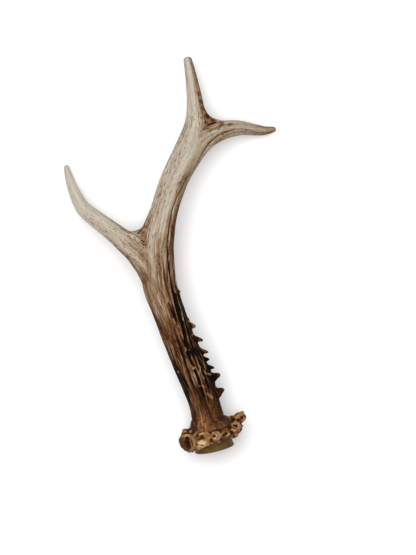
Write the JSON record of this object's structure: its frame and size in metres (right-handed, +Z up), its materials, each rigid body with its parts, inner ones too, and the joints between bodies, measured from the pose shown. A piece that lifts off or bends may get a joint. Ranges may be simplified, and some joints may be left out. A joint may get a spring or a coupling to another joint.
{
  "type": "deer antler",
  "caption": "Roe deer antler lying on its inner side: knobbly burr on a short sawn pedicle, thorny brown beam forking into pale, smooth tines.",
  "frame": {"origin": "centre of the bounding box's underside, on the surface that the antler lies on", "axes": "+Y from the burr towards the tips, +X towards the antler's back, the thorny edge, +Z up, away from the surface"},
  "size_m": [0.1236, 0.2302, 0.0368],
  "materials": {
    "stained_bone": "grooved dark brown bone with pale worn ridges, thorns and knobs",
    "beam_bone": "beige bone with fine brown grain",
    "tine_bone": "pale polished bone",
    "skull_bone": "smooth olive brown bone with a sawn end"
  },
  "bodies": {
    "root": {"pedicle": "skull_bone", "lower_beam": "stained_bone", "upper_beam": "beam_bone", "front_tine": "tine_bone", "rear_tine": "tine_bone", "top_tine": "tine_bone"}
  },
  "joints": []
}
